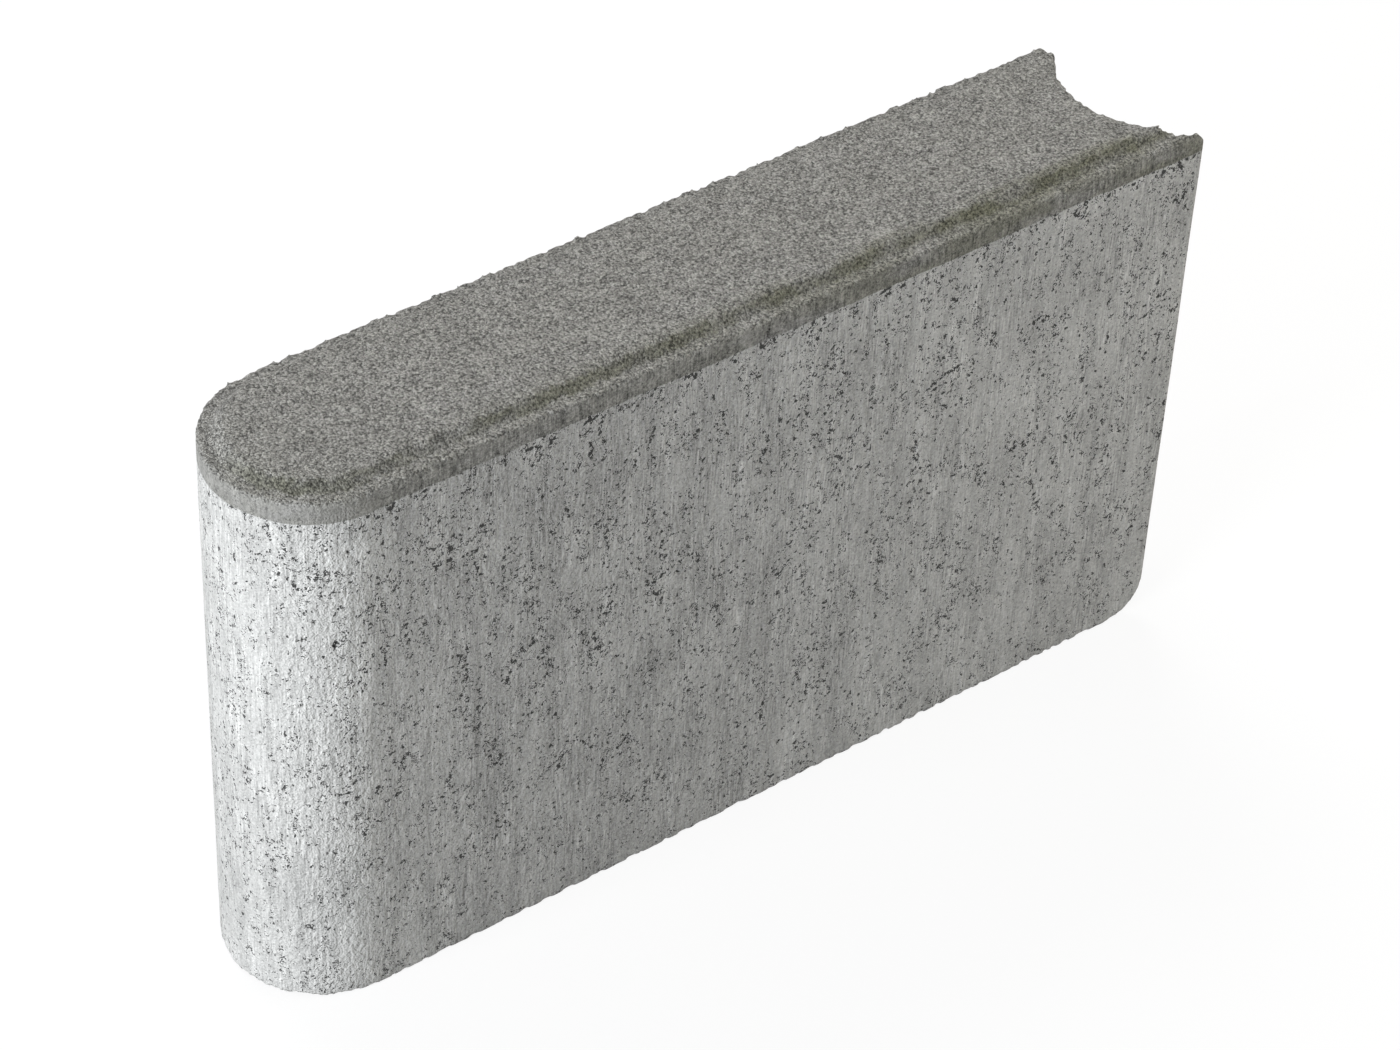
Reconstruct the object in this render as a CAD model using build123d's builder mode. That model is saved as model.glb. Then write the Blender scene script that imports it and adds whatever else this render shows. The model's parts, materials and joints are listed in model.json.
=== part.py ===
"""Pavement kerb stone of pressed concrete, moulded in one piece.

One end is a half-round nose and the other a hollow socket that takes the nose of the
next stone. A raised tread stands above a lip that runs along both sides and round the nose.

Units are millimetres. X runs along the kerb with the nose at -X, Y across it and Z up.
The origin is under the middle of the stone, on the ground.
"""
import os
from math import sqrt

from build123d import *

# Main sizes
OVERALL_LENGTH = 427.0
THICKNESS = 80.0
SHOULDER_HEIGHT = 250.0
TREAD_RISE = 4.0

# Socket end
SOCKET_CLEARANCE = 0.5
HORN_TIP_THICKNESS = 0.6
HORN_TOP_RADIUS = 6.0
HORN_FOOT_RADIUS = 18.0

# Rim that follows the outline
LIP_WIDTH = 4.0
COVE_WIDTH = 6.4
TREAD_EDGE_RADIUS = 2.0
LIP_EDGE_RADIUS = 1.2

# Room for cuts to run past the stone
OVERRUN = 20.0

# Positions that follow from the sizes
total_height = SHOULDER_HEIGHT + TREAD_RISE
side_y = THICKNESS / 2
nose_radius = side_y
nose_apex_x = -OVERALL_LENGTH / 2
nose_centre_x = nose_apex_x + nose_radius
end_x = OVERALL_LENGTH / 2
blank_end_x = end_x + OVERRUN
socket_radius = nose_radius + SOCKET_CLEARANCE
horn_inner_y = side_y - HORN_TIP_THICKNESS
socket_centre_x = end_x + sqrt(socket_radius**2 - horn_inner_y**2)
socket_floor_x = socket_centre_x - socket_radius
rim_width = LIP_WIDTH + COVE_WIDTH

with BuildPart() as kerb_stone:
    # Blank: two straight sides and the round nose, left a little long at the other end
    with BuildSketch():
        with BuildLine():
            Line((blank_end_x, -side_y), (nose_centre_x, -side_y))
            ThreePointArc((nose_centre_x, -side_y), (nose_apex_x, 0), (nose_centre_x, side_y))
            Line((nose_centre_x, side_y), (blank_end_x, side_y))
            Line((blank_end_x, side_y), (blank_end_x, -side_y))
        make_face()
    extrude(amount=total_height)

    # Lip and cove, cut along both sides and round the nose in one sweep
    with BuildLine() as rim_path:
        Line((blank_end_x + OVERRUN, -side_y, SHOULDER_HEIGHT), (nose_centre_x, -side_y, SHOULDER_HEIGHT))
        ThreePointArc(
            (nose_centre_x, -side_y, SHOULDER_HEIGHT),
            (nose_apex_x, 0, SHOULDER_HEIGHT),
            (nose_centre_x, side_y, SHOULDER_HEIGHT),
        )
        Line((nose_centre_x, side_y, SHOULDER_HEIGHT), (blank_end_x + OVERRUN, side_y, SHOULDER_HEIGHT))
    rim_plane = Plane(origin=rim_path.line @ 0, x_dir=(0, -1, 0), z_dir=(-1, 0, 0))
    with BuildSketch(rim_plane) as rim_section:
        with BuildLine():
            Line((OVERRUN, 0), (-LIP_WIDTH, 0))
            TangentArc((-LIP_WIDTH, 0), (-rim_width, TREAD_RISE), tangent=(-1, 0))
            Line((-rim_width, TREAD_RISE), (-rim_width, OVERRUN))
            Line((-rim_width, OVERRUN), (OVERRUN, OVERRUN))
            Line((OVERRUN, OVERRUN), (OVERRUN, 0))
        make_face()
    sweep(sections=rim_section.sketch, path=rim_path.line, mode=Mode.SUBTRACT)

    # Soft edge of the tread, and the arris of the lip
    tread = kerb_stone.faces().sort_by(Axis.Z)[-1]
    tread_edge = tread.edges().filter_by(lambda edge: edge.center().X < end_x)
    fillet(tread_edge, radius=TREAD_EDGE_RADIUS)
    lip_edge = kerb_stone.edges().filter_by(
        lambda edge: abs(edge.center().Z - SHOULDER_HEIGHT) < LIP_EDGE_RADIUS
        and edge.length > THICKNESS
        and max(abs(edge.bounding_box().min.Y), abs(edge.bounding_box().max.Y)) > side_y - LIP_WIDTH / 2
    )
    fillet(lip_edge, radius=LIP_EDGE_RADIUS)

    # Socket, through the full height
    with BuildSketch(Plane.XY.offset(-OVERRUN)):
        with Locations((socket_centre_x, 0)):
            Circle(socket_radius)
    extrude(amount=total_height + 2 * OVERRUN, mode=Mode.SUBTRACT)

    # Side view: the horns cut to length, and rounded at their upper and lower corners
    with BuildSketch(Plane.XZ):
        with BuildLine():
            Line((nose_apex_x - OVERRUN, 0), (end_x - HORN_FOOT_RADIUS, 0))
            TangentArc((end_x - HORN_FOOT_RADIUS, 0), (end_x, HORN_FOOT_RADIUS), tangent=(1, 0))
            Line((end_x, HORN_FOOT_RADIUS), (end_x, SHOULDER_HEIGHT - HORN_TOP_RADIUS))
            TangentArc(
                (end_x, SHOULDER_HEIGHT - HORN_TOP_RADIUS),
                (end_x - HORN_TOP_RADIUS, SHOULDER_HEIGHT),
                tangent=(0, 1),
            )
            Line((end_x - HORN_TOP_RADIUS, SHOULDER_HEIGHT), (end_x - HORN_TOP_RADIUS, total_height))
            Line((end_x - HORN_TOP_RADIUS, total_height), (nose_apex_x - OVERRUN, total_height))
            Line((nose_apex_x - OVERRUN, total_height), (nose_apex_x - OVERRUN, 0))
        make_face()
    extrude(amount=THICKNESS, both=True, mode=Mode.INTERSECT)

os.makedirs("parts", exist_ok=True)
kerb_stone.part.label = "kerb_stone"
export_step(kerb_stone.part, "parts/kerb_stone.step")

box = kerb_stone.part.bounding_box()
print("overall size", round(box.size.X, 2), round(box.size.Y, 2), round(box.size.Z, 2))
print("socket floor from the nose", round(socket_floor_x - nose_apex_x, 2), "centre", round(socket_centre_x, 3))
print("volume", round(kerb_stone.part.volume, 0))
print("solids", len(kerb_stone.part.solids()), "faces", len(kerb_stone.part.faces()))
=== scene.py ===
# %% [markdown]
# # A kerb stone of pressed concrete
#
# This lesson dresses a plain solid until it looks like the stone that comes out of the press.
# The solid is already modelled and packed at its real size. Here it is loaded as a fixed frame,
# and the shapes below take their main sizes from it, so that both fit each other.

# %% Load the frame and read its sizes
import json
import math

import bpy
from mathutils import Euler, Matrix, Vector


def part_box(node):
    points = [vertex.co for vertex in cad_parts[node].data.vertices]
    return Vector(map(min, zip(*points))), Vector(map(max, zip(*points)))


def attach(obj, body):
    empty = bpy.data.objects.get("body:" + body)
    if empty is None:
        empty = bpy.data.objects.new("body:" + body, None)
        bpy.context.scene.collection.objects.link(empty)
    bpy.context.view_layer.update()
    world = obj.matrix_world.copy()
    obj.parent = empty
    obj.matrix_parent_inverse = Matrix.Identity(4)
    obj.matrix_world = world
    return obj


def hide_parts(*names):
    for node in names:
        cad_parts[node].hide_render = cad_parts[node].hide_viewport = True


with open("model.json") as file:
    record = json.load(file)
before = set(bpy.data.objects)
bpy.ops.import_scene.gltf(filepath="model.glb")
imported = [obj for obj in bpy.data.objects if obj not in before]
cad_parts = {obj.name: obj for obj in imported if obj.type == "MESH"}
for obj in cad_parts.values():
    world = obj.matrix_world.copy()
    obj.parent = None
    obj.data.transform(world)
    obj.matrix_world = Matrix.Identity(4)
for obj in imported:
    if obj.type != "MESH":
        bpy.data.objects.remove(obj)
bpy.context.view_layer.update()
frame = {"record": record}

MM = 0.001
low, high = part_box("kerb_stone")
length, thickness, height = [(top - bottom) / MM for bottom, top in zip(low, high)]
mounts = {mount["name"]: mount for mount in frame["record"]["mounts"]}
nose_radius = mounts["nose"]["dims"]["r_mm"]
lip_height = mounts["nose"]["dims"]["length_mm"]
socket_radius = mounts["socket"]["dims"]["r_mm"]
socket_centre = mounts["socket"]["pos_m"][0] / MM
tread_rise = height - lip_height
print(f"stone {length:.1f} x {thickness:.1f} x {height:.1f} mm")
print(f"nose radius {nose_radius} mm, socket radius {socket_radius} mm, tread rise {tread_rise:.1f} mm")

# %% [markdown]
# ## Arithmetic with nodes
#
# The shape and the finish of this stone are both rules: how far a point lies from a wall, how rough
# the mix is there, where the pores are. In Blender such a rule is a chain of Math nodes, and a long
# chain is hard to read. A small wrapper lets the script write the rule as ordinary arithmetic, and each
# sign adds one node. It works the same way in a Geometry Nodes tree and in a shader tree.

# %% A field that adds Math nodes
def feed(socket, value):
    """Links a field to a socket, or sets the socket to a plain value."""
    if isinstance(value, Field):
        socket.id_data.links.new(value.socket, socket)
    else:
        socket.default_value = value


class Field:
    """One output of a node tree, ready for arithmetic."""

    def __init__(self, socket):
        self.socket = socket
        self.tree = socket.id_data

    def math(self, operation, *others):
        node = self.tree.nodes.new("ShaderNodeMath")
        node.operation = operation
        for socket, value in zip(node.inputs, (self, *others)):
            feed(socket, value)
        return Field(node.outputs[0])

    def __add__(self, other):
        return self.math("ADD", other)

    def __radd__(self, other):
        return self.math("ADD", other)

    def __sub__(self, other):
        return self.math("SUBTRACT", other)

    def __rsub__(self, other):
        return (-self).math("ADD", other)

    def __mul__(self, other):
        return self.math("MULTIPLY", other)

    def __neg__(self):
        return self.math("MULTIPLY", -1.0)

    def __abs__(self):
        return self.math("ABSOLUTE")

    def larger(self, other):
        return self.math("MAXIMUM", other)

    def smaller(self, other):
        return self.math("MINIMUM", other)

    def larger_soft(self, other, blend):
        return self.math("SMOOTH_MAX", other, blend)

    def ramp(self, start, end):
        """Rises smoothly from 0 at start to 1 at end."""
        node = self.tree.nodes.new("ShaderNodeMapRange")
        node.interpolation_type = "SMOOTHSTEP"
        for name, value in (("Value", self), ("From Min", start), ("From Max", end)):
            feed(node.inputs[name], value)
        return Field(node.outputs["Result"])

    def lifted(self, least):
        """A field from 0 to 1, squeezed to run from least to 1."""
        return self * (1.0 - least) + least


def distance(across, along):
    """Length of the two-part vector (across, along)."""
    return (across * across + along * along).math("SQRT")


def between(amount, first, second):
    """The first field where amount is 0, and the second where it is 1."""
    return first * (1.0 - amount) + second * amount


# %% Noise and pits, measured in millimetres
def vector_math(operation, vector, other):
    """One Vector Math node. The other operand is a field, three numbers, or one number for all axes."""
    node = vector.tree.nodes.new("ShaderNodeVectorMath")
    node.operation = operation
    feed(node.inputs[0], vector)
    feed(node.inputs[1], other if isinstance(other, (Field, tuple)) else (other, other, other))
    return Field(node.outputs["Vector"])


def split(vector):
    """The three parts of a vector or a colour."""
    node = vector.tree.nodes.new("ShaderNodeSeparateXYZ")
    feed(node.inputs[0], vector)
    return [Field(output) for output in node.outputs]


def noise_node(point, size, detail, roughness, shift):
    node = point.tree.nodes.new("ShaderNodeTexNoise")
    feed(node.inputs["Vector"], vector_math("DIVIDE", vector_math("ADD", point, shift), size))
    for name, value in (("Scale", 1.0), ("Detail", detail), ("Roughness", roughness)):
        feed(node.inputs[name], value)
    return node


def noise(point, size, detail=2.0, roughness=0.5, shift=0.0):
    """Noise around zero. Size is one length, or one for each axis where the noise is drawn out."""
    return Field(noise_node(point, size, detail, roughness, shift).outputs["Fac"]) - 0.5


def warped(point, size, reach):
    """The same point pushed about by noise, so that round things come out ragged."""
    push = Field(noise_node(point, size, 0.0, 0.5, 0.0).outputs["Color"])
    return vector_math("ADD", point, vector_math("MULTIPLY", vector_math("SUBTRACT", push, 0.5), 2 * reach))


def cell_node(point, size, feature="F1"):
    """A Voronoi texture with cells of about this size."""
    node = point.tree.nodes.new("ShaderNodeTexVoronoi")
    node.feature = feature
    feed(node.inputs["Vector"], vector_math("DIVIDE", point, size))
    feed(node.inputs["Scale"], 1.0)
    return node


def pits(point, spacing, smallest, largest, share, shift):
    """How deep a point lies inside a scatter of pits, most of them small. A share of the cells hold one."""
    node = cell_node(vector_math("ADD", point, shift), spacing)
    chance, size, _ = split(Field(node.outputs["Color"]))
    held = chance.math("LESS_THAN", share)
    radius = size * size * (largest - smallest) + smallest
    return radius * held - (1.0 - held) * largest - Field(node.outputs["Distance"]) * spacing


# %% [markdown]
# ## The two mixes
#
# Such a stone is pressed in one stroke from two mixes: a coarse grey body, and a thin facing of finer,
# darker mix on top. They are one piece, so one material covers both and changes from one to the other
# by height, on a line that wavers a little because the mix was loose when it was struck off.
#
# The body is pressed less dense than the facing and stays open. Its pores come in clusters and drifts,
# fewer on the nose and towards the foot, and most of all just under the line.

# %% How open the body is
FACING_DEPTH = 9.3
NOSE_RANGE = (20.0, 60.0)
DRIFT_SIZE = (14.0, 14.0, 30.0)
DRIFT_SHIFT = 7.0
DRIFT_RANGE = (-0.12, 0.16)
LEAST_DRIFT = 0.25
CLUSTER_SIZE = (4.5, 4.5, 10.0)
CLUSTER_SHIFT = 19.0
CLUSTER_RANGE = (-0.08, 0.16)
LEAST_CLUSTER = 0.12
OPEN_LINE_DROP = 2.0
OPEN_LINE_RANGE = (0.5, 5.0)
OPEN_LINE_GAIN = 1.1
RISE_RANGE = (0.0, 140.0)
LEAST_AT_FOOT = 0.5
LEAST_ON_NOSE = 0.7
facing_line = lip_height - FACING_DEPTH


def openness(point):
    """How open the mix is: 0 where it is dense, 1 where it is open, and up to 2.1 just under the line."""
    x, _, z = split(point)
    off_nose = (x + length / 2).ramp(*NOSE_RANGE)
    drift = noise(point, DRIFT_SIZE, detail=1.0, shift=DRIFT_SHIFT).ramp(*DRIFT_RANGE)
    cluster = noise(point, CLUSTER_SIZE, detail=1.0, shift=CLUSTER_SHIFT).ramp(*CLUSTER_RANGE)
    below_line = 1.0 - abs(z - facing_line + OPEN_LINE_DROP).ramp(*OPEN_LINE_RANGE)
    drifting = drift.lifted(LEAST_DRIFT) + below_line * OPEN_LINE_GAIN
    clustered = drifting * cluster.lifted(LEAST_CLUSTER)
    return clustered * z.ramp(*RISE_RANGE).lifted(LEAST_AT_FOOT) * off_nose.lifted(LEAST_ON_NOSE)


# %% Large pores, which the shape and the finish both use
PORE_SHIFT = 31.0
PORE_SPACING = 5.6
PORE_SMALLEST = 0.5
PORE_LARGEST = 1.3
PORE_RAGGED_SIZE = 1.4
PORE_RAGGED_REACH = 2.2
PORE_DRAWN = (1.0, 1.0, 0.65)


def large_pores(point, how_open):
    ragged = vector_math("MULTIPLY", warped(point, PORE_RAGGED_SIZE, PORE_RAGGED_REACH), PORE_DRAWN)
    return pits(ragged, PORE_SPACING, PORE_SMALLEST, PORE_LARGEST, how_open, PORE_SHIFT)


print(f"facing line at {facing_line:.1f} mm, pores of {PORE_SMALLEST} to {PORE_LARGEST} mm radius below it")

# %% [markdown]
# ## The stone as a rule
#
# The skin could be the solid's own mesh with noise on it, but its flat faces have too few points to
# hold pores, and subdividing long thin triangles gives uneven ones. So the stone is written as a rule
# instead: for any point, how far is it outside the stone? Each wall, the socket, the rim and the rounded
# horns give one such distance, and the largest of them wins. Geometry Nodes fills a volume with the rule
# and draws a skin where it is zero. Roughness is then simply added to the distance.

# %% Sizes of the rim and the horns
# The frame doesn't list these, so they repeat the solid's own. Only the horn tip is blunter than there.
LIP_WIDTH = 4.0
COVE_WIDTH = 6.4
HORN_TOP = 6.0
HORN_FOOT = 18.0
HORN_TIP = 2.4
VOXEL = 1.1
SEED = 3.0
SKIN_INPUTS = {
    "Length": length,
    "Thickness": thickness,
    "Height": height,
    "Tread rise": tread_rise,
    "Lip width": LIP_WIDTH,
    "Cove width": COVE_WIDTH,
    "Socket radius": socket_radius,
    "Socket centre": socket_centre,
    "Horn top": HORN_TOP,
    "Horn foot": HORN_FOOT,
    "Horn tip": HORN_TIP,
    "Voxel": VOXEL,
    "Seed": SEED,
}

skin_tree = bpy.data.node_groups.new("kerb_skin", "GeometryNodeTree")
skin_tree.interface.new_socket("Geometry", in_out="OUTPUT", socket_type="NodeSocketGeometry")
for name, value in SKIN_INPUTS.items():
    socket = skin_tree.interface.new_socket(name, in_out="INPUT", socket_type="NodeSocketFloat")
    socket.default_value = value
group_in = skin_tree.nodes.new("NodeGroupInput")
size = {name: Field(group_in.outputs[name]) for name in SKIN_INPUTS}
position = Field(skin_tree.nodes.new("GeometryNodeInputPosition").outputs[0])
point = vector_math("DIVIDE", position, MM)
x, y, z = split(point)
print(f"skin tree: {len(SKIN_INPUTS)} named inputs")

# %% Walls, socket and rim
STEP_SOFTNESS = 0.5
half = size["Thickness"] * 0.5
end = size["Length"] * 0.5
rise = size["Tread rise"]
lip = size["Height"] - rise
inset = half - distance((x - (half - end)).smaller(0.0), y)
socket_round = size["Socket radius"] - distance(x - size["Socket centre"], y)
socket_hollow = socket_round.smaller(half - size["Horn tip"] - abs(y))
walls = (-inset).larger(socket_hollow)

rim = size["Lip width"]
step = inset.ramp(rim + STEP_SOFTNESS, rim + size["Cove width"] - STEP_SOFTNESS)
top = z - lip - rise * step
print(f"walls, socket and rim: {len(skin_tree.nodes)} nodes")

# %% Rounded horns
TREAD_CLEARANCE = 2.0
top_corner = size["Horn top"]
past_end = x - (end - top_corner)
past_lip = z - (lip - top_corner)
upper_round = distance(past_end.larger(0.0), past_lip.larger(0.0)) - top_corner
upper_horn = upper_round - (-past_end).ramp(0.0, TREAD_CLEARANCE) * half

foot_corner = size["Horn foot"]
past_corner = (x - (end - foot_corner)).larger(0.0)
lower_horn = distance(past_corner, (foot_corner - z).larger(0.0)) - foot_corner
side_view = upper_horn.larger(lower_horn)
print(f"with the horns: {len(skin_tree.nodes)} nodes")

# %% Soft arrises, softest where the tread meets the socket
ARRIS_SOFTNESS = 1.2
SOCKET_SOFTNESS = 5.0
TREAD_INSET = (8.0, 13.0)
least_softness = ARRIS_SOFTNESS / 2
socket_softness = inset.ramp(*TREAD_INSET) * (SOCKET_SOFTNESS - least_softness) + least_softness
outer_arris = (-inset).larger_soft(top, ARRIS_SOFTNESS)
socket_arris = socket_hollow.larger_soft(top, socket_softness)
smooth_stone = outer_arris.larger(socket_arris).larger_soft(side_view, ARRIS_SOFTNESS)
print(f"smooth stone: {len(skin_tree.nodes)} nodes")

# %% [markdown]
# ## What the press leaves on it
#
# The mould is drawn upwards off the wet stone, so its sides carry fine upright drag marks and open pores,
# while the top is pressed flat and shows the grit of the facing. The arrises crumble a little, most of all
# along the foot, and the far horn has lost its tip. Each mark is one more term of the rule.

# %% Drag marks and grit
SEED_STEP = 10.0
TOP_RANGE = (-2.0, -0.2)
BODY_FADE = 1.0
BROAD_SIZE = 60.0
BROAD_RELIEF = 0.5
DRAG_SIZE = (3.0, 3.0, 50.0)
DRAG_RELIEF = 0.45
GRIT_SIZE = 2.9
GRIT_RELIEF = 1.3
seeded = vector_math("ADD", point, size["Seed"] * SEED_STEP)
on_top = (z - lip).ramp(*TOP_RANGE)
on_body = 1.0 - (z - lip).ramp(-FACING_DEPTH, BODY_FADE - FACING_DEPTH)
broad = noise(seeded, BROAD_SIZE) * BROAD_RELIEF
drag = noise(seeded, DRAG_SIZE, detail=1.0) * on_body * DRAG_RELIEF
grit = noise(seeded, GRIT_SIZE, detail=1.0) * on_top * GRIT_RELIEF
print(f"with drag marks and grit: {len(skin_tree.nodes)} nodes")

# %% Crumbled arrises
FLUSH = 0.08
FOOT_REACH = 4.5
FOOT_CRUMB_SIZE = 4.5
FOOT_CRUMB_BIAS = 0.08
FOOT_CRUMBLE = 1.8
TOP_REACH = 4.0
TOP_CRUMB_SIZE = 2.5
TOP_CRUMB_SHIFT = 17.0
TOP_CRUMBLE = 2.8
near_foot = 1.0 - z.ramp(0.0, FOOT_REACH)
near_top_arris = 1.0 - abs(walls - top).ramp(0.0, TOP_REACH)
foot_crumbs = (noise(seeded, FOOT_CRUMB_SIZE) + FOOT_CRUMB_BIAS).larger(0.0) * near_foot * FOOT_CRUMBLE
top_crumbs = noise(seeded, TOP_CRUMB_SIZE, detail=1.0, shift=TOP_CRUMB_SHIFT) * near_top_arris * TOP_CRUMBLE
crumble = foot_crumbs + top_crumbs
rough_stone = smooth_stone + broad + drag + grit + crumble + FLUSH
print(f"with the crumbled arrises: {len(skin_tree.nodes)} nodes")

# %% Pores and the worn horn
PORE_SOFTNESS = 0.5
HORN_LOSS = 19.5
HORN_LOSS_DEPTH = 40.0
BREAK_SIZE = 8.0
BREAK_RELIEF = 7.0
BREAK_SOFTNESS = 3.0
BREAK_SIDE = (0.0, 12.0)
pore_depth = large_pores(point, openness(point)) - (1.0 - on_body) * PORE_LARGEST * 2.0
pitted = rough_stone.larger_soft(pore_depth, PORE_SOFTNESS)

worn_plane = (x - end + HORN_LOSS) + (z - size["Height"]) * (HORN_LOSS / HORN_LOSS_DEPTH)
worn_face = worn_plane + noise(seeded, BREAK_SIZE, detail=3.0) * BREAK_RELIEF
worn_horn = worn_face - (1.0 - y.ramp(*BREAK_SIDE)) * length
in_mould = (-inset).larger(x - end).larger(z - size["Height"]).larger(-z)
stone = pitted.larger_soft(worn_horn, BREAK_SOFTNESS).larger(in_mould)
print(f"with the pores and the worn horn: {len(skin_tree.nodes)} nodes")

# %% Fill the volume, draw the skin and end the tree
MARGIN = 4.0
ISLAND_LIMIT = 2000
volume = skin_tree.nodes.new("GeometryNodeVolumeCube")
skin = skin_tree.nodes.new("GeometryNodeVolumeToMesh")
outer_only = skin_tree.nodes.new("GeometryNodeDeleteGeometry")
realize = skin_tree.nodes.new("GeometryNodeRealizeInstances")
set_material = skin_tree.nodes.new("GeometryNodeSetMaterial")
group_out = skin_tree.nodes.new("NodeGroupOutput")

room = Vector((length / 2 + MARGIN, thickness / 2 + MARGIN, height + MARGIN))
low_corner = Vector((-room.x, -room.y, -MARGIN))
feed(volume.inputs["Density"], -stone)
feed(volume.inputs["Background"], -MARGIN)
feed(volume.inputs["Min"], low_corner * MM)
feed(volume.inputs["Max"], room * MM)
voxels_per_mm = size["Voxel"].math("POWER", -1.0)
for axis, span in zip("XYZ", room - low_corner):
    feed(volume.inputs["Resolution " + axis], voxels_per_mm * span)
feed(skin.inputs["Threshold"], 0.0)

# The rule also makes pores deep inside the stone. They come out as small islands, which are deleted.
island = skin_tree.nodes.new("GeometryNodeInputMeshIsland")
tally = skin_tree.nodes.new("GeometryNodeAccumulateField")
feed(tally.inputs["Group ID"], Field(island.outputs["Island Index"]))
feed(outer_only.inputs["Selection"], Field(tally.outputs["Total"]).math("LESS_THAN", ISLAND_LIMIT))

chain = (volume, skin, outer_only, realize, set_material, group_out)
for earlier, later in zip(chain, chain[1:]):
    skin_tree.links.new(earlier.outputs[0], later.inputs[0])
print(f"rule of the stone: {len(skin_tree.nodes)} nodes")

# %% [markdown]
# ## The finish
#
# Three effects serve both mixes, so each is a shader node group: the grain of the sand, the drag marks and
# the pores, which are painted dark as shade, with a painted highlight on the rims of the small ones. The
# large pores use the same rule as the skin does, so their painted shade and the pit fall in the same place.

# %% Helpers for shader groups
def shader_group(name, inputs, outputs):
    """A new shader node group with named inputs, its fields by name, and the sockets for its results."""
    group = bpy.data.node_groups.new(name, "ShaderNodeTree")
    for label in inputs:
        kind = "NodeSocketVector" if label == "point" else "NodeSocketFloat"
        group.interface.new_socket(label, in_out="INPUT", socket_type=kind)
    for label in outputs:
        group.interface.new_socket(label, in_out="OUTPUT", socket_type="NodeSocketFloat")
    start = group.nodes.new("NodeGroupInput")
    finish = group.nodes.new("NodeGroupOutput")
    return group, {label: Field(start.outputs[label]) for label in inputs}, finish.inputs


def place(group, point, **values):
    """Puts a group into the tree that the point belongs to, and returns its outputs by name."""
    node = point.tree.nodes.new("ShaderNodeGroup")
    node.node_tree = group
    for label, value in {"point": point, **values}.items():
        feed(node.inputs[label], value)
    return {output.name: Field(output) for output in node.outputs}


# %% Sand grain
SPECK_SIZE = 0.95
SPECK_ROUGHNESS = 0.7
TONE_SHADE = 0.6
SPECK_SHADE = 1.6
DOME_SHADE = 0.4
DOME_HEIGHT = 0.8
SPECK_HEIGHT = 1.2
sand_group, given, results = shader_group("sand_grain", ["point", "grain"], ["shade", "height"])
cell = cell_node(given["point"], given["grain"])
tone, _, _ = split(Field(cell.outputs["Color"]))
dome = 0.5 - Field(cell.outputs["Distance"])
speck = noise(given["point"], given["grain"] * SPECK_SIZE, detail=1.0, roughness=SPECK_ROUGHNESS)
feed(results["shade"], (tone - 0.5) * TONE_SHADE + speck * SPECK_SHADE + dome * DOME_SHADE)
feed(results["height"], dome * DOME_HEIGHT + speck * SPECK_HEIGHT)
print(f"sand grain: {len(sand_group.nodes)} nodes")

# %% Drag marks
BROAD_MARK_SIZE = (3.2, 3.2, 110.0)
FINE_MARK_SIZE = (0.8, 0.8, 10.0)
GAP_SIZE = (8.0, 8.0, 24.0)
GAP_SHIFT = 11.0
GAP_RANGE = (-0.12, 0.12)
LEAST_MARK = 0.3
BROAD_MARK_SHADE = 0.5
FINE_MARK_SHADE = 2.0
BROAD_MARK_HEIGHT = 0.6
FINE_MARK_HEIGHT = 0.7
drag_group, given, results = shader_group("drag_marks", ["point"], ["shade", "height"])
broad_mark = noise(given["point"], BROAD_MARK_SIZE, detail=1.0)
fine_mark = noise(given["point"], FINE_MARK_SIZE, detail=1.0)
gaps = noise(given["point"], GAP_SIZE, detail=1.0, shift=GAP_SHIFT).ramp(*GAP_RANGE).lifted(LEAST_MARK)
feed(results["shade"], broad_mark * BROAD_MARK_SHADE + fine_mark * gaps * FINE_MARK_SHADE)
feed(results["height"], broad_mark * BROAD_MARK_HEIGHT + fine_mark * FINE_MARK_HEIGHT)
print(f"drag marks: {len(drag_group.nodes)} nodes")

# %% Pores: small holes, crevices between the clumps, and the large pores of the skin
HOLE_RAGGED_SIZE = 1.0
HOLE_RAGGED_REACH = 1.6
HOLE_SPACING = 1.15
HOLE_SMALLEST = 0.18
HOLE_LARGEST = 0.76
HOLE_SHARE = 2.5
HOLE_SHIFT = 5.0
CLUMP_SIZE = 2.6
CREVICE_SIZE = 2.0
CREVICE_SHIFT = 53.0
CREVICE_OPENING = 0.17
CREVICE_BIAS = 0.2
CREVICE_WIDTH = 2.2
SMALL_EDGE = (-0.04, 0.06)
LARGE_EDGE = (-0.1, 0.2)
RIM_HIGHLIGHT_EDGE = (-0.26, -0.08)
pore_group, given, results = shader_group("press_pores", ["point"], ["mask", "crust"])
how_open = openness(given["point"])
ragged = vector_math("MULTIPLY", warped(given["point"], HOLE_RAGGED_SIZE, HOLE_RAGGED_REACH), PORE_DRAWN)
holes = pits(ragged, HOLE_SPACING, HOLE_SMALLEST, HOLE_LARGEST, how_open * HOLE_SHARE, HOLE_SHIFT)
clump = cell_node(ragged, CLUMP_SIZE, "DISTANCE_TO_EDGE")
crevice_noise = noise(given["point"], CREVICE_SIZE, detail=0.0, shift=CREVICE_SHIFT)
crevice_width = (crevice_noise + how_open * CREVICE_OPENING - CREVICE_BIAS) * CREVICE_WIDTH
crevices = crevice_width - Field(clump.outputs["Distance"]) * CLUMP_SIZE
small_depth = holes.larger(crevices)
small = small_depth.ramp(*SMALL_EDGE)
large = large_pores(given["point"], how_open).ramp(*LARGE_EDGE)
feed(results["mask"], large.larger(small))
# Painted highlight: a light ring around each small hole and crevice, where its rim would catch the light.
feed(results["crust"], small_depth.ramp(*RIM_HIGHLIGHT_EDGE) - small)
print(f"pores: {len(pore_group.nodes)} nodes")

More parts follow.
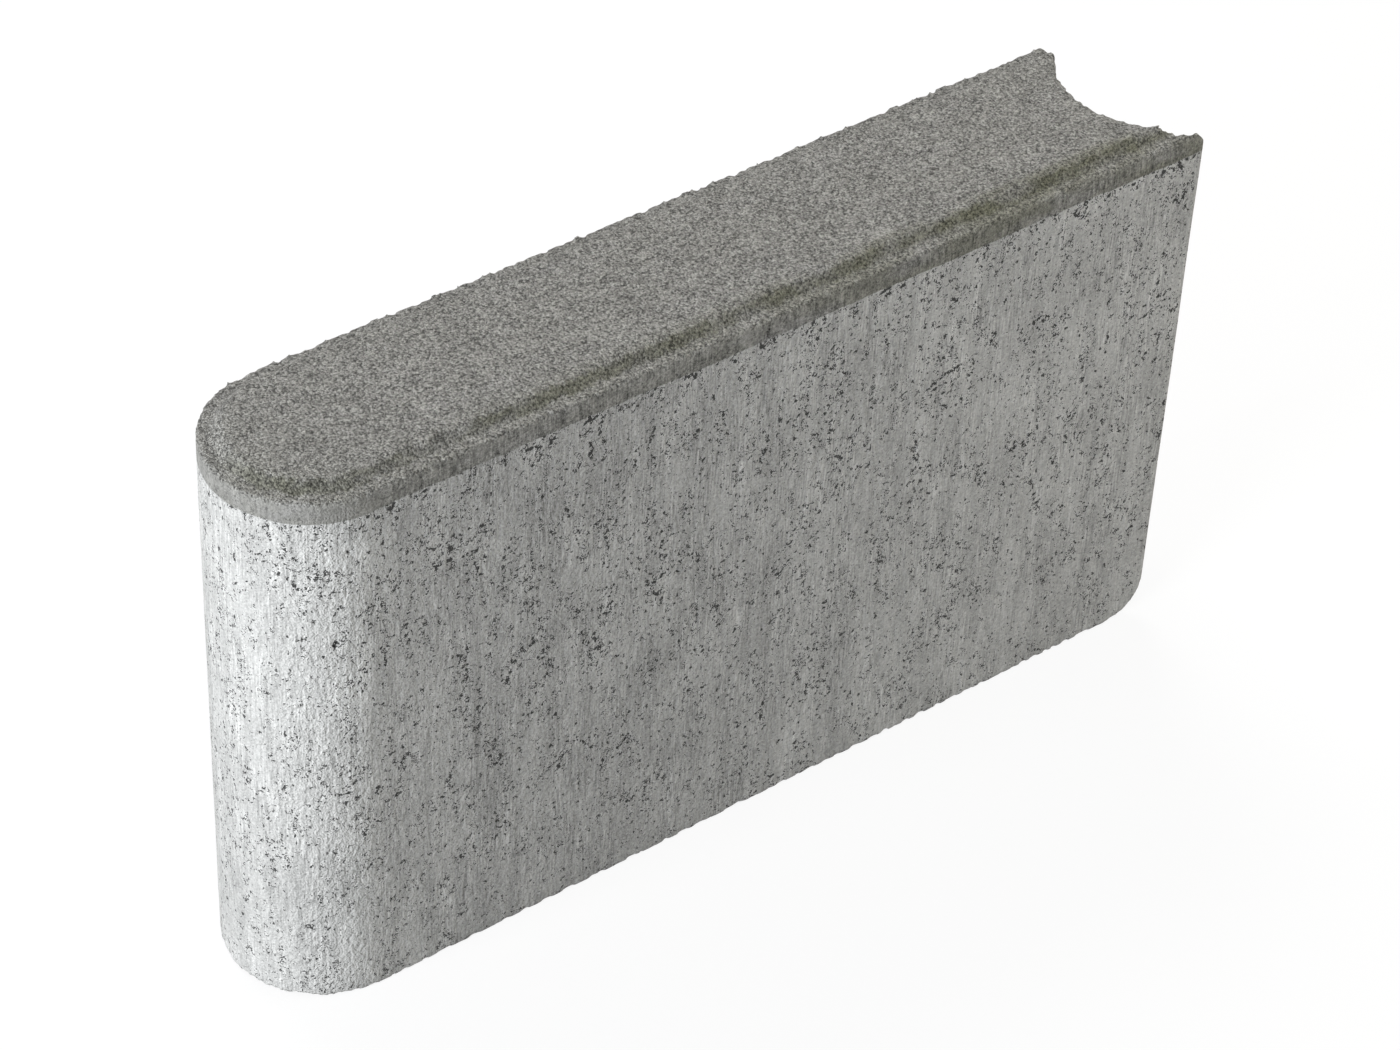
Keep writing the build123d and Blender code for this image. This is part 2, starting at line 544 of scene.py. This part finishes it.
# %% The concrete material
BODY_GREY = (0.44, 0.437, 0.423)
FACING_GREY = (0.267, 0.263, 0.25)
OLIVE = (0.150, 0.149, 0.108)
PORE_PAINTED_SHADE = (0.03, 0.03, 0.029)
concrete = bpy.data.materials.new("pressed_concrete")
concrete.use_nodes = True
tree = concrete.node_tree
tree.nodes.clear()
coordinates = tree.nodes.new("ShaderNodeTexCoord")
spot = vector_math("DIVIDE", Field(coordinates.outputs["Object"]), MM)
spot_x, spot_y, spot_z = split(spot)


def mix_colour(amount, first, second):
    """Mixes two colours. Inputs 6 and 7 and output 2 are the ones that a Mix node has for colour."""
    node = amount.tree.nodes.new("ShaderNodeMix")
    node.data_type = "RGBA"
    feed(node.inputs[0], amount)
    for socket, colour in zip((node.inputs[6], node.inputs[7]), (first, second)):
        feed(socket, colour if isinstance(colour, Field) else (*colour, 1.0))
    return Field(node.outputs[2])


def shaded(colour, factor):
    """A colour made lighter or darker by a factor around 1."""
    node = factor.tree.nodes.new("ShaderNodeVectorMath")
    node.operation = "SCALE"
    feed(node.inputs[0], colour)
    feed(node.inputs["Scale"], factor)
    return Field(node.outputs[0])


# %% Which mix, and how much each mark shows
WAVER_BROAD_SIZE = 24.0
WAVER_BROAD = 2.0
WAVER_FINE_SIZE = 3.0
WAVER_FINE = 0.8
LINE_BLUR = 0.3
LEVEL_RANGE = (-1.6, -0.4)
GRAIN_SIZE = 0.85
waver_broad = noise(spot, WAVER_BROAD_SIZE, detail=1.0) * WAVER_BROAD
waver = waver_broad + noise(spot, WAVER_FINE_SIZE, detail=1.0) * WAVER_FINE
facing = (spot_z + waver).ramp(facing_line - LINE_BLUR, facing_line + LINE_BLUR)
level = (spot_z - lip_height).ramp(*LEVEL_RANGE)
grain = place(sand_group, spot, grain=GRAIN_SIZE)
marks = place(drag_group, spot)
pores = place(pore_group, spot)
print(f"mixes and marks: {len(tree.nodes)} nodes")

# %% Colour of the body
CLOUD_SIZE = 45.0
CLOUD_SHADE = 0.35
SMEAR_SIZE = (7.0, 7.0, 30.0)
SMEAR_SHIFT = 23.0
SMEAR_SHADE = 0.45
MIDDLE_SHADE_STARTS = (40.0, 100.0)
MIDDLE_SHADE_ENDS = (150.0, 300.0)
MIDDLE_PAINTED_SHADE = 0.1
NOSE_PAINTED_LIGHT = 0.14
BODY_GRAIN = 0.4
BODY_MARKS = 0.65
BODY_RIM_HIGHLIGHT = 0.28
BODY_PORE_SHADE = 0.95
cloud = noise(spot, CLOUD_SIZE, detail=1.0)
smear = noise(spot, SMEAR_SIZE, detail=1.0, shift=SMEAR_SHIFT)
from_nose = spot_x + length / 2
# Painted light: the body and the band are painted lighter near the nose, where the key lamp falls.
near_nose = 1.0 - from_nose.ramp(*NOSE_RANGE)
# Painted shade: the body is painted darker in the middle of its length, where the light of the left and
# right lamps falls off.
middle_painted_shade = from_nose.ramp(*MIDDLE_SHADE_STARTS) - from_nose.ramp(*MIDDLE_SHADE_ENDS)
# The texture holds the painted highlight on the pore rims.
texture = grain["shade"] * BODY_GRAIN + marks["shade"] * BODY_MARKS + pores["crust"] * BODY_RIM_HIGHLIGHT
along_stone = 1.0 + near_nose * NOSE_PAINTED_LIGHT - middle_painted_shade * MIDDLE_PAINTED_SHADE
body_factor = along_stone + cloud * CLOUD_SHADE + smear * SMEAR_SHADE + texture
# Painted shade: the pores are mixed towards a near-black grey, standing in for the shade inside the holes.
body_colour = mix_colour(pores["mask"] * BODY_PORE_SHADE, shaded(BODY_GREY, body_factor), PORE_PAINTED_SHADE)

# %% Where the facing is stained
COVE_RAGGED_SIZE = 4.0
COVE_RAGGED_REACH = 5.0
COVE_MIDDLE = 0.45
COVE_RANGE = (0.8, 3.0)
NEAR_SIDE_RANGE = (-14.0, 20.0)
DAMP_END_RANGE = (-length * 0.2, length * 0.3)
RIM_RANGE = (10.0, 15.0)
PATCH_SIZE = (30.0, 12.0, 12.0)
STAIN_RANGE = (-0.26, 0.1)
COVE_OLIVE = 0.55
COVE_OLIVE_LOSS = 0.2
RIM_OLIVE = 0.12
RIM_OLIVE_GAIN = 0.42
LEAST_OLIVE = 0.1
rim_inset = nose_radius - distance((spot_x - (nose_radius - length / 2)).smaller(0.0), spot_y)
ragged_inset = rim_inset + noise(spot, COVE_RAGGED_SIZE, detail=1.0, roughness=0.7) * COVE_RAGGED_REACH
off_cove = abs(ragged_inset - LIP_WIDTH - COVE_WIDTH * COVE_MIDDLE)
in_cove = (1.0 - off_cove.ramp(*COVE_RANGE)) * level
near_side = (-spot_y).ramp(*NEAR_SIDE_RANGE)
damp_end = spot_x.ramp(*DAMP_END_RANGE)
in_rim = (1.0 - rim_inset.ramp(*RIM_RANGE)) * near_side
stain = noise(spot, PATCH_SIZE, roughness=0.65).ramp(*STAIN_RANGE)
cove_olive = in_cove * near_side * (COVE_OLIVE - damp_end * COVE_OLIVE_LOSS)
rim_olive = in_rim * (damp_end * RIM_OLIVE_GAIN + RIM_OLIVE)
olive_share = stain * (cove_olive + rim_olive + LEAST_OLIVE)

# %% Colour of the facing
MOTTLE_SIZE = 8.0
MOTTLE_SHIFT = 61.0
BLOTCH_SIZE = (3.5, 3.5, 6.0)
BLOTCH_SHIFT = 67.0
BAND_GRAIN = 0.8
BAND_MARKS = 0.8
BAND_BLOTCH = 1.1
BAND_SHADE = 0.94
BAND_NOSE_PAINTED_LIGHT = 0.1
BAND_NOSE_SMOOTH = 0.5
BAND_PORE_SHADE = 0.45
TOP_GRAIN = 1.6
TOP_MOTTLE = 0.5
TOP_DARKEST = 0.25
COVE_PAINTED_LIGHT = 0.15
COVE_NEAR_SIDE_PAINTED_SHADE = 0.24
COVE_NOSE_PAINTED_SHADE = 0.15
mottle = noise(spot, MOTTLE_SIZE, detail=1.0, shift=MOTTLE_SHIFT)
blotch = noise(spot, BLOTCH_SIZE, detail=1.0, shift=BLOTCH_SHIFT)
band_texture = grain["shade"] * BAND_GRAIN + marks["shade"] * BAND_MARKS + blotch * BAND_BLOTCH
band_smoothing = 1.0 - near_nose * BAND_NOSE_SMOOTH
# Painted light: the band is painted lighter near the nose.
band_factor = BAND_SHADE + near_nose * BAND_NOSE_PAINTED_LIGHT + band_texture * band_smoothing
top_factor = (1.0 + grain["shade"] * TOP_GRAIN + mottle * TOP_MOTTLE).larger(TOP_DARKEST)
# Painted light and shade in the cove: it is painted lighter in general, and painted shade darkens it on the
# near side and at the nose.
cove_painted_light = 1.0 + in_cove * (COVE_PAINTED_LIGHT - near_side * COVE_NEAR_SIDE_PAINTED_SHADE - near_nose * COVE_NOSE_PAINTED_SHADE)
facing_factor = between(level, band_factor, top_factor) * cove_painted_light
stained_facing = shaded(mix_colour(olive_share, FACING_GREY, OLIVE), facing_factor)
# Painted shade: the pores of the band are mixed towards the same near-black grey.
facing_colour = mix_colour(pores["mask"] * (1.0 - level) * BAND_PORE_SHADE, stained_facing, PORE_PAINTED_SHADE)
base_colour = mix_colour(facing, body_colour, facing_colour)
print(f"with the colours: {len(tree.nodes)} nodes")

# %% Relief that is too fine for the mesh
DIMPLE_SIZE = (1.8, 1.8, 2.6)
DIMPLE_SHIFT = 41.0
DIMPLE_HEIGHT = 0.7
BODY_GRAIN_HEIGHT = 0.35
BAND_GRAIN_HEIGHT = 0.3
TOP_GRAIN_HEIGHT = 0.75
MARK_HEIGHT = 0.25
RELIEF_BLUR = 0.5
dimples = noise(spot, DIMPLE_SIZE, detail=0.0, shift=DIMPLE_SHIFT)
mark_relief = marks["height"] * MARK_HEIGHT
body_relief = grain["height"] * BODY_GRAIN_HEIGHT + mark_relief + dimples * DIMPLE_HEIGHT
band_relief = grain["height"] * BAND_GRAIN_HEIGHT + mark_relief
top_relief = grain["height"] * TOP_GRAIN_HEIGHT
facing_relief = between(level, band_relief, top_relief)
in_facing = spot_z.ramp(facing_line - RELIEF_BLUR, facing_line + RELIEF_BLUR)
bump = tree.nodes.new("ShaderNodeBump")
feed(bump.inputs["Strength"], 1.0)
feed(bump.inputs["Distance"], MM)
feed(bump.inputs["Height"], between(in_facing, body_relief, facing_relief))

# %% The shader
ROUGHNESS = 0.9
GRAIN_ROUGHNESS = 0.08
SPECULAR = 0.25
surface = tree.nodes.new("ShaderNodeBsdfPrincipled")
feed(surface.inputs["Base Color"], base_colour)
feed(surface.inputs["Roughness"], ROUGHNESS + grain["shade"] * GRAIN_ROUGHNESS)
feed(surface.inputs["Specular IOR Level"], SPECULAR)
feed(surface.inputs["Normal"], Field(bump.outputs["Normal"]))
output = tree.nodes.new("ShaderNodeOutputMaterial")
feed(output.inputs["Surface"], Field(surface.outputs["BSDF"]))
feed(set_material.inputs["Material"], concrete)
print(f"concrete: {len(tree.nodes)} nodes")

# %% [markdown]
# ## Turning the rule into a mesh
#
# The skin is first drawn fine, with a point about every millimetre, and then thinned. Thinning takes
# points away where the stone is flat and leaves them in the pores and along the broken edges.

# %% Grow the skin and thin it
TRIANGLE_BUDGET = 195000


def evaluated_mesh(carrier, name):
    graph = bpy.context.evaluated_depsgraph_get()
    mesh = bpy.data.meshes.new_from_object(carrier.evaluated_get(graph))
    mesh.name = name
    return mesh


carrier = bpy.data.objects.new("carrier", bpy.data.meshes.new("carrier"))
bpy.context.scene.collection.objects.link(carrier)
modifier = carrier.modifiers.new("kerb_skin", "NODES")
modifier.node_group = skin_tree
for item in skin_tree.interface.items_tree:
    if item.in_out == "INPUT":
        modifier[item.identifier] = SKIN_INPUTS[item.name]
fine_skin = evaluated_mesh(carrier, "fine_skin")
carrier.modifiers.remove(modifier)

triangles = sum(len(face.vertices) - 2 for face in fine_skin.polygons)
carrier.data = fine_skin
thinner = carrier.modifiers.new("thin", "DECIMATE")
thinner.ratio = min(1.0, TRIANGLE_BUDGET / triangles)
thinner.use_collapse_triangulate = True
thin_skin = evaluated_mesh(carrier, "kerb_skin")
carrier.modifiers.remove(thinner)
bpy.data.objects.remove(carrier)
print(f"skin: {triangles} triangles drawn, {len(thin_skin.polygons)} kept")

# %% The finished piece
stone_piece = bpy.data.objects.new("kerb_skin", thin_skin)
bpy.context.scene.collection.objects.link(stone_piece)
thin_skin.materials.clear()
thin_skin.materials.append(concrete)
thin_skin.shade_smooth()
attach(stone_piece, "root")
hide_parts("kerb_stone")
print(f"piece {stone_piece.name}: {len(thin_skin.vertices)} points, material {concrete.name}")

# %% [markdown]
# ## Floor, light and camera
#
# The picture has a white ground with no horizon. The floor and the world are therefore white where the
# camera sees them, but they light the stone only as a grey room would, so its shaded side stays dark.
# A cool softbox lights the nose, a large one stands above and behind, and a small warm one fills the side.
# The camera is the one that fits the edges of the stone in the photo.

# %% Floor
FLOOR_REACH = 6.0
FLOOR_GREY = 0.4
FLOOR_GLOW = 0.85
FLOOR_CORNERS = ((-1, -1), (1, -1), (1, 1), (-1, 1))


def background_rays(tree):
    """1 for rays that show the background: straight to the camera, or by way of a gloss or glass."""
    path = tree.nodes.new("ShaderNodeLightPath")
    kinds = ("Camera", "Glossy", "Transmission")
    seen, gloss, glass = [Field(path.outputs[f"Is {kind} Ray"]) for kind in kinds]
    return seen.larger(gloss).larger(glass)


floor_mesh = bpy.data.meshes.new("floor")
corners = [(across * FLOOR_REACH, along * FLOOR_REACH, 0) for across, along in FLOOR_CORNERS]
floor_mesh.from_pydata(corners, [], [(0, 1, 2, 3)])
floor = bpy.data.objects.new("floor", floor_mesh)
bpy.context.scene.collection.objects.link(floor)

pale = bpy.data.materials.new("pale_floor")
pale.use_nodes = True
nodes = pale.node_tree.nodes
nodes.clear()
matt = nodes.new("ShaderNodeBsdfDiffuse")
shown = background_rays(pale.node_tree)
feed(matt.inputs["Color"], shown.lifted(FLOOR_GREY))
glow = nodes.new("ShaderNodeEmission")
blend = nodes.new("ShaderNodeMixShader")
output = nodes.new("ShaderNodeOutputMaterial")
feed(blend.inputs[0], shown * FLOOR_GLOW)
feed(blend.inputs[1], Field(matt.outputs[0]))
feed(blend.inputs[2], Field(glow.outputs[0]))
feed(output.inputs["Surface"], Field(blend.outputs[0]))
floor_mesh.materials.append(pale)
print(f"floor: {2 * FLOOR_REACH} m square")

# %% World
SKY = 0.18
world = bpy.data.worlds.new("studio")
bpy.context.scene.world = world
world.use_nodes = True
background = world.node_tree.nodes["Background"]
feed(background.inputs["Color"], (1, 1, 1, 1))
feed(background.inputs["Strength"], background_rays(world.node_tree).lifted(SKY))
print(f"world: strength 1 as background and {SKY} as light")


# %% Lamps
def softbox(name, place, aim, size, power, colour):
    lamp = bpy.data.lights.new(name, "AREA")
    lamp.shape = "RECTANGLE"
    lamp.size, lamp.size_y = size
    lamp.energy = power
    lamp.color = colour
    holder = bpy.data.objects.new(name, lamp)
    holder.location = place
    holder.rotation_euler = (Vector(aim) - Vector(place)).to_track_quat("-Z", "Y").to_euler()
    bpy.context.scene.collection.objects.link(holder)
    print(f"{name}: {power} W")


softbox(
    "key_left",
    place=(-1.5, -0.28, 0.55),
    aim=(-0.17, 0.0, 0.13),
    size=(0.9, 0.9),
    power=31.0,
    colour=(0.93, 0.96, 1.0),
)
softbox(
    "overhead_back",
    place=(0.2, 1.1, 1.5),
    aim=(0.0, 0.0, 0.2),
    size=(1.4, 0.9),
    power=20.0,
    colour=(1.0, 0.99, 0.97),
)
softbox(
    "fill_right",
    place=(0.95, -0.6, 0.7),
    aim=(0.15, 0.0, 0.12),
    size=(0.7, 0.7),
    power=7.4,
    colour=(1.0, 0.98, 0.92),
)

# %% Camera
CAMERA_AZIMUTH = -38.323
CAMERA_ELEVATION = 41.05
CAMERA_ROLL = 2.919
FOCAL_PIXELS = 4262.3
PICTURE_WIDTH = 1400
CAMERA_FROM_NOSE = (-564.1, -989.0, 1217.0)
SENSOR = 36.0
camera_data = bpy.data.cameras.new("camera")
camera_data.sensor_width = SENSOR
camera_data.lens = FOCAL_PIXELS / PICTURE_WIDTH * SENSOR
camera = bpy.data.objects.new("camera", camera_data)
turn = Euler((math.radians(90.0 - CAMERA_ELEVATION), 0.0, math.radians(CAMERA_AZIMUTH))).to_matrix()
roll = Euler((0.0, 0.0, math.radians(CAMERA_ROLL))).to_matrix()
camera.rotation_euler = (turn @ roll).to_euler()
camera.location = Vector((low.x, 0.0, 0.0)) + Vector(CAMERA_FROM_NOSE) * MM
bpy.context.scene.collection.objects.link(camera)
bpy.context.scene.camera = camera
bpy.context.scene.view_settings.view_transform = "Standard"
print(f"camera: {camera_data.lens:.1f} mm lens")
